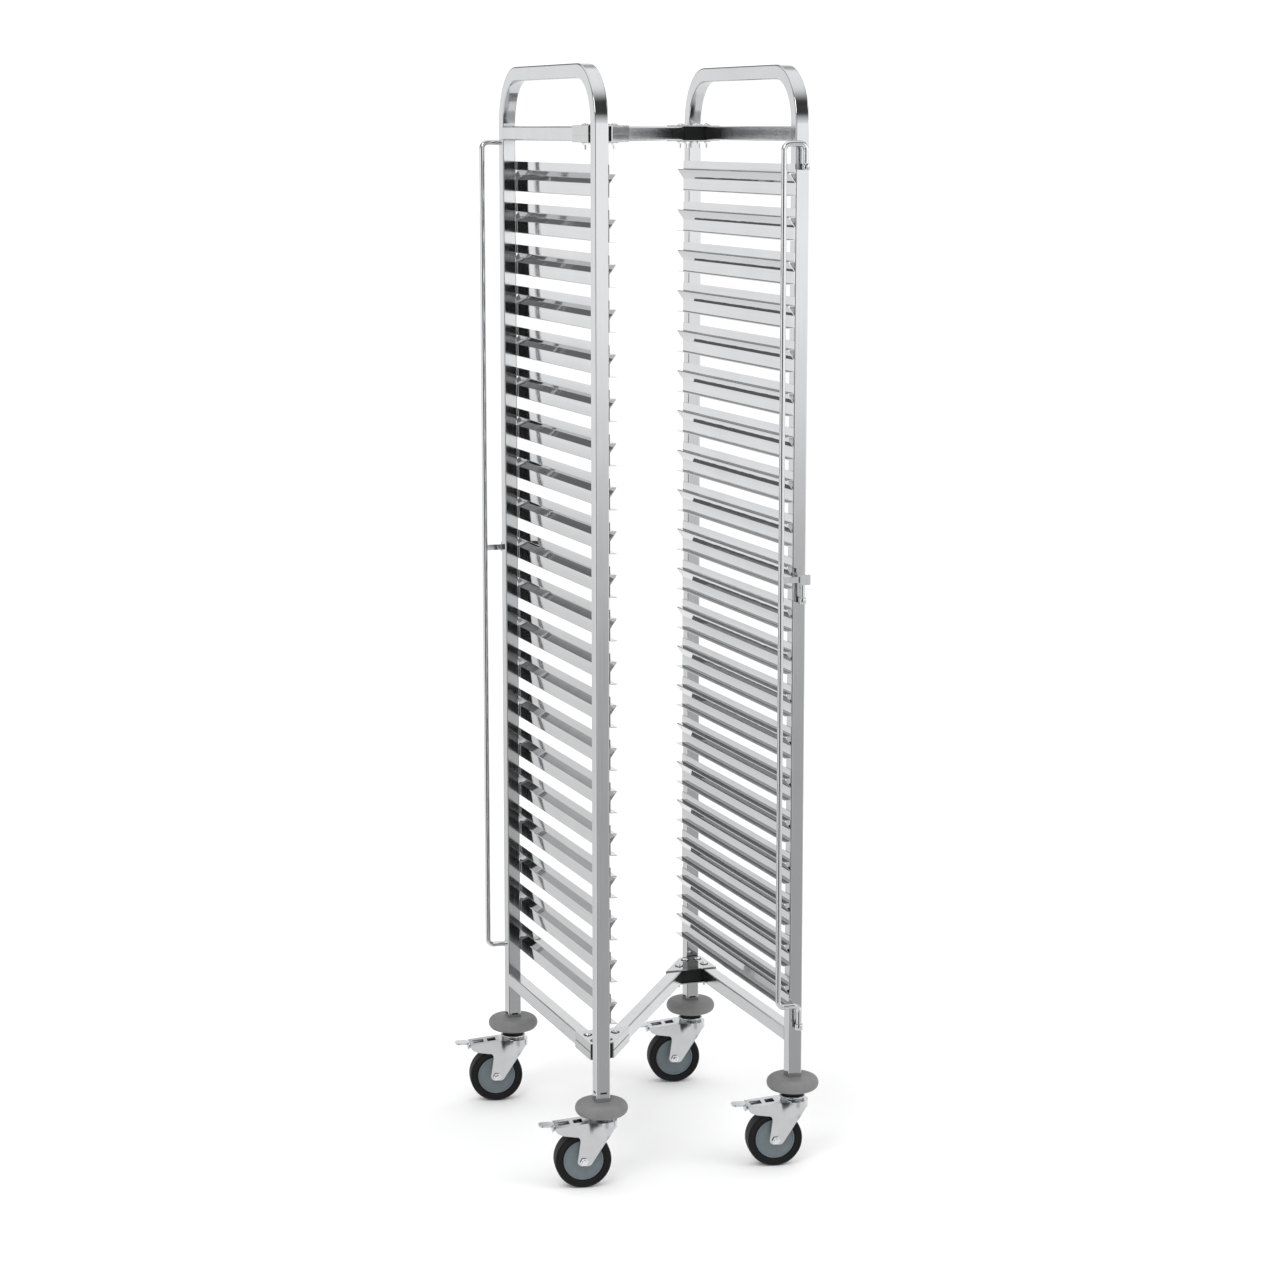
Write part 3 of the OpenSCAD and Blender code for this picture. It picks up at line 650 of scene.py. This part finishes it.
def fork_outline():
    """Half outline of the unrolled skin: under the nose, round the foot and up to the tail."""
    side = [(-20, CROWN_TOP - 10.5), (-17, CROWN_TOP - 13)]
    for angle in range(208, 361, 12):
        middle = FOOT_BACK if angle < 270 else FOOT_FRONT
        turn = math.radians(angle)
        side.append((middle + FOOT_R * math.cos(turn), FOOT_Z + FOOT_R * math.sin(turn)))
    side += [(WHEEL_X + 9.2, FOOT_Z + 14), (WHEEL_X + 6.4, WHEEL_Z + 35)]
    for angle in range(186, 79, -15):
        turn = math.radians(angle)
        side.append((NOTCH_X + NOTCH_R * math.cos(turn), NOTCH_Z + NOTCH_R * math.sin(turn)))
    side += [(TAIL_X - 16, WHEEL_Z + 48), (TAIL_X - 7, TAIL_TOP - 9.5),
             (TAIL_X - 2.5, TAIL_TOP - 6), (TAIL_X, TAIL_TOP - 1)]
    return [(0.0, CROWN_TOP - 11)] + [(unrolled(x), z) for x, z in side]


def top_of_skin(x):
    """Height of the skin's top edge, level at the crown and falling to the tail."""
    slope = min(max((x - CROWN_R) / (TAIL_X - CROWN_R), 0), 1)
    return CROWN_TOP + (TAIL_TOP - CROWN_TOP) * slope


def cut(bm, geometry, place, normal):
    return bmesh.ops.bisect_plane(bm, geom=geometry, plane_co=place, plane_no=normal, dist=CLOSE)


def folded_skin():
    """Skin of the fork: its unrolled outline, cut into strips and folded round the crown."""
    half = fork_outline()
    rows = {*range(-25, int(TAIL_X) + 1, 3), *PLATE_HOLES[0], *PLATE_HOLES[1], TAIL_X}
    upper = [(unrolled(x), top_of_skin(x)) for x in sorted(rows, reverse=True)]
    loop = half + upper
    loop += [(-u, z) for u, z in reversed(upper[:-1])] + [(-u, z) for u, z in reversed(half[1:])]
    bm = bmesh.new()
    bm.faces.new([bm.verts.new((u, z, 0)) for u, z in loop])
    for step in range(-22, 23):
        cut(bm, bm.verts[:] + bm.edges[:] + bm.faces[:], (step * FOLD_STEP, 0, 0), (1, 0, 0))
    for z in range(BULGE_LOW, int(CROWN_TOP), 4):
        cut(bm, bm.verts[:] + bm.edges[:] + bm.faces[:], (0, z, 0), (0, 1, 0))
    for vert in bm.verts:
        vert.co = skin_point(vert.co.x, vert.co.y)
    return bm


def add_top_plate(bm):
    """Closes the skin with its top plate, which has two openings over the wheel."""
    rim = [v for v in bm.verts if abs(v.co.z - top_of_skin(v.co.x)) < CLOSE]
    left = sorted((v for v in rim if v.co.y < -CLOSE), key=lambda v: v.co.x)
    right = sorted((v for v in rim if v.co.y > CLOSE), key=lambda v: v.co.x)
    nose = [v for v in rim if abs(v.co.y) <= CLOSE]
    plate = []
    for i in range(len(left) - 1):
        plate.append(bm.faces.new((left[i], left[i + 1], right[i + 1], right[i])))
    plate.append(bm.faces.new((left[0], right[0], nose[0])))
    for y in (HOLE_Y, -HOLE_Y):
        verts = list({v for f in plate for v in f.verts})
        edges = list({e for f in plate for e in f.edges})
        result = cut(bm, verts + edges + plate, (0, y, 0), (0, 1, 0))
        plate = [part for part in result["geom"] if isinstance(part, bmesh.types.BMFace)]
    gone = []
    for face in plate:
        middle = face.calc_center_median()
        if abs(middle.y) < HOLE_Y and any(start < middle.x < end for start, end in PLATE_HOLES):
            gone.append(face)
    bmesh.ops.delete(bm, geom=gone, context="FACES_ONLY")


def fork_mesh(name):
    bm = folded_skin()
    add_top_plate(bm)
    bmesh.ops.remove_doubles(bm, verts=bm.verts, dist=0.005)
    bmesh.ops.recalc_face_normals(bm, faces=bm.faces)
    return mesh_from(bm, name)


def place_on_caster(mesh, corner):
    """Moves a mesh in caster coordinates, in mm, to its corner."""
    turn = Matrix((TRAIL, -AXLE, UP)).transposed().to_4x4()
    mesh.transform(Matrix.Translation(foot_of(corner)) @ turn @ Matrix.Scale(MM, 4))


# Lower race of the swivel head, about the top of the crown
RACE = [(21.2, -3), (23.2, -3), (23.5, -0.6), (23.5, 2.2),
        (23.1, 2.8), (22.4, 3), (21.5, 3), (21.2, 2.7)]

for corner in CORNERS:
    node = "caster_fork_" + corner
    mesh = fork_mesh("pressed_fork_" + corner)
    place_on_caster(mesh, corner)
    fork = make_piece("pressed_fork_" + corner, mesh, node, caster_steel, 40)
    sheet = fork.modifiers.new("sheet", "SOLIDIFY")
    sheet.thickness = FORK_SHEET * MM
    sheet.offset = -1
    sheet.use_even_offset = True
    add_bevel(fork, "edges", 0.0009, 3, 40)
    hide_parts(node)
    low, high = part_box("caster_stem_" + corner)
    race_place = Vector(((low.x + high.x) / 2, (low.y + high.y) / 2, CROWN_TOP * MM))
    turned_piece("lower_race_" + corner, RACE, node, race_steel, UP, race_place)


# ---- dark rings under nuts, bolts and pins, painted shade where the real parts show dark gaps; they stand on a surface at offset 0

AXLE_SHADE_RING = [(6.2, 0), (9.1, 0), (9.4, 0.25), (9.4, 0.8), (9.1, 1.05), (6.2, 1.05)]
PIN_RING = [(2.9, 0), (4.5, 0), (4.7, 0.2), (4.7, 0.5), (4.5, 0.7), (2.9, 0.7)]
BOLT_SHADE_RING = [(3.4, 0), (7.6, 0), (7.8, 0.2), (7.8, 0.5), (7.6, 0.7), (3.4, 0.7)]
ON_A_LEG = ((WHEEL_X, WHEEL_Z, AXLE_SHADE_RING, 48), (PEDAL_X, PEDAL_Z, PIN_RING, 32))
# As in part.scad: the bolts' distances from the post along the side bar, and from the middle of
# the bar to the outer face of a bracket shell
BOLT_ALONG = (37.0, 75.0)
BRACKET_SEAT = 14.5


def joined(name, meshes):
    """One mesh out of several."""
    bm = bmesh.new()
    for mesh in meshes:
        bm.from_mesh(mesh)
        bpy.data.meshes.remove(mesh)
    return mesh_from(bm, name)


for corner in CORNERS:
    rings = []
    for outward in (1, -1):
        face = AXLE * outward * LEG_Y * MM
        for x, z, profile, steps in ON_A_LEG:
            place = foot_of(corner) + (TRAIL * x + Vector((0, 0, z))) * MM + face
            rings.append(lathe_mesh("ring", profile, place, AXLE * outward, steps))
    # Rings of painted shade round the axle nuts and the pedal pins
    name = "axle_washers_" + corner
    make_piece(name, joined(name, rings), "caster_axle_" + corner, shade_ring_paint)

slope = math.tan(DIAGONAL_TURN)
for tier in ("top", "bottom"):
    low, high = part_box("side_bar_left_" + tier)
    rings = []
    for corner, inward in (("front_left", 1), ("rear_right", -1)):
        post = foot_of(corner) + Vector((0, 0, (low.z + high.z) / 2))
        for along in BOLT_ALONG:
            for across in (0, along * slope):
                for up in (1, -1):
                    offset = Vector((across * inward, along * inward, BRACKET_SEAT * up)) * MM
                    rings.append(lathe_mesh("ring", BOLT_SHADE_RING, post + offset, UP * up, 32))
    # Rings of painted shade round the bracket bolts' heads and nuts
    name = "bolt_washers_" + tier
    make_piece(name, joined(name, rings), "bracket_bolts_" + tier, shade_ring_paint)


# ------------------------------------------------------------ studio

FLOOR_HALF = 60.0
FLOOR_WHITE = 0.95
SOFT_LIGHT = 1.12  # strength of the even light that falls on everything
ROOM_DARK = 0.05

floor_z = cad_low.z
floor_mesh = bpy.data.meshes.new("floor")
floor_mesh.from_pydata([(x * FLOOR_HALF, y * FLOOR_HALF, floor_z)
                        for x, y in ((-1, -1), (1, -1), (1, 1), (-1, 1))], [], [(0, 1, 2, 3)])
floor = new_object("floor", floor_mesh)
floor_paint = bpy.data.materials.new("floor")
floor_paint.use_nodes = True
floor_bsdf = floor_paint.node_tree.nodes["Principled BSDF"]
floor_bsdf.inputs["Base Color"].default_value = (FLOOR_WHITE, FLOOR_WHITE, FLOOR_WHITE, 1)
floor_bsdf.inputs["Roughness"].default_value = 0.9
floor_bsdf.inputs["Specular IOR Level"].default_value = 0.1
floor_mesh.materials.append(floor_paint)
floor.visible_glossy = False  # the steel mirrors the room below instead

world = bpy.data.worlds.new("studio")
bpy.context.scene.world = world
world.use_nodes = True
world_tree = world.node_tree
world_tree.nodes.clear()


def world_node(kind, **inputs):
    """A node of the world, its inputs given by name, or by number after an underscore."""
    node = world_tree.nodes.new(kind)
    for key, value in inputs.items():
        socket = node.inputs[int(key[1:]) if key[1:].isdigit() else key.replace("_", " ")]
        if isinstance(value, bpy.types.NodeSocket):
            world_tree.links.new(value, socket)
        else:
            socket.default_value = value
    return node


def world_range(value, start, end):
    """0 below start and 1 above end, with a smooth step between."""
    node = world_node("ShaderNodeMapRange", Value=value, From_Min=start, From_Max=end,
                      To_Min=0.0, To_Max=1.0)
    node.interpolation_type = "SMOOTHSTEP"
    return node.outputs["Result"]


def world_mix(factor, a, b):
    return world_node("ShaderNodeMix", _0=factor, _2=a, _3=b).outputs[0]


def layered(lift, level, steps):
    """Strength that changes as a direction rises: from the lowest level, by (start, end, level)."""
    for start, end, above in steps:
        level = world_mix(world_range(lift, start, end), level, above)
    return level


def dark_patch(level, direction, inner, outer, darkness):
    """Changes the level within an angle of one direction, in degrees."""
    toward = world_node("ShaderNodeVectorMath", _0=heading, _1=Vector(direction).normalized())
    toward.operation = "DOT_PRODUCT"
    near = world_range(toward.outputs["Value"],
                       math.cos(math.radians(outer)), math.cos(math.radians(inner)))
    return world_mix(near, level, darkness)


# What the polished steel mirrors, by direction: a white sweep below, brightest at its far front
# edge, softboxes overhead, and between them a room that is dark in front and grey behind
FRONT = (0.9, ((-0.24, -0.06, 1.25), (0.05, 0.32, ROOM_DARK), (0.62, 0.96, 1.15)))
REAR_LEFT = (1.0, ((0.02, 0.06, 0.5), (0.5, 0.7, 1.1)))
REAR_RIGHT = (1.0, ((0.34, 0.5, 0.5), (0.6, 0.8, 1.15)))
# Direction, angles where the patch is full and where it ends, and its strength. In order: the
# sweep behind, the dark over it, the sweep in front on the right, the dark beside the camera.
PATCHES = (
    ((-0.27, 0.95, -0.3), 3, 14, 0.8),
    ((-0.07, 0.93, 0.36), 12, 18, 0.16),
    ((0.38, -0.93, -0.36), 8, 18, 0.5),
    ((-0.53, -0.85, -0.08), 19, 25, 0.01),
)

heading = world_node("ShaderNodeTexCoord").outputs["Generated"]
to_right, to_rear, lift = world_node("ShaderNodeSeparateXYZ", _0=heading).outputs
rear = world_mix(world_range(to_right, 0.1, 0.26),
                 layered(lift, *REAR_LEFT), layered(lift, *REAR_RIGHT))
room = world_mix(world_range(to_rear, -0.15, 0.2), layered(lift, *FRONT), rear)
for patch in PATCHES:
    room = dark_patch(room, *patch)
mirrored_room = world_node("ShaderNodeBackground", Strength=room, Color=(1, 1, 1, 1))
soft = world_node("ShaderNodeBackground", Strength=SOFT_LIGHT, Color=(1, 1, 1, 1))
choose = world_node("ShaderNodeMixShader",
                    _0=world_node("ShaderNodeLightPath").outputs["Is Glossy Ray"],
                    _1=soft.outputs[0], _2=mirrored_room.outputs[0])
world_node("ShaderNodeOutputWorld", Surface=choose.outputs[0])


def area_light(name, place, size, power):
    """A square light that points at the middle of the trolley."""
    light = bpy.data.lights.new(name, "AREA")
    light.shape = "SQUARE"
    light.size = size
    light.energy = power
    obj = new_object(name, light)
    obj.location = place
    toward = (cad_low + cad_high) / 2 - Vector(place)
    obj.rotation_euler = toward.to_track_quat("-Z", "Y").to_euler()


area_light("key", (-2.6, -3.2, 4.2), 2.2, 60)
area_light("fill", (3.4, -2.4, 3.0), 2.5, 30)


# ------------------------------------------------------------ camera

CAMERA_PLACE = Vector((-1.8294, -5.2919, 1.8334))
CAMERA_YAW, CAMERA_PITCH = 19.227, -9.262
FOCAL_PIXELS, FRAME_PIXELS = 3144.4, 1280

lens = bpy.data.cameras.new("camera")
lens.sensor_width = 36
lens.lens = FOCAL_PIXELS / FRAME_PIXELS * lens.sensor_width
camera = new_object("camera", lens)
camera.location = CAMERA_PLACE
camera.rotation_euler = (math.radians(90 + CAMERA_PITCH), 0, math.radians(-CAMERA_YAW))
bpy.context.scene.camera = camera
bpy.context.scene.view_settings.view_transform = "Standard"
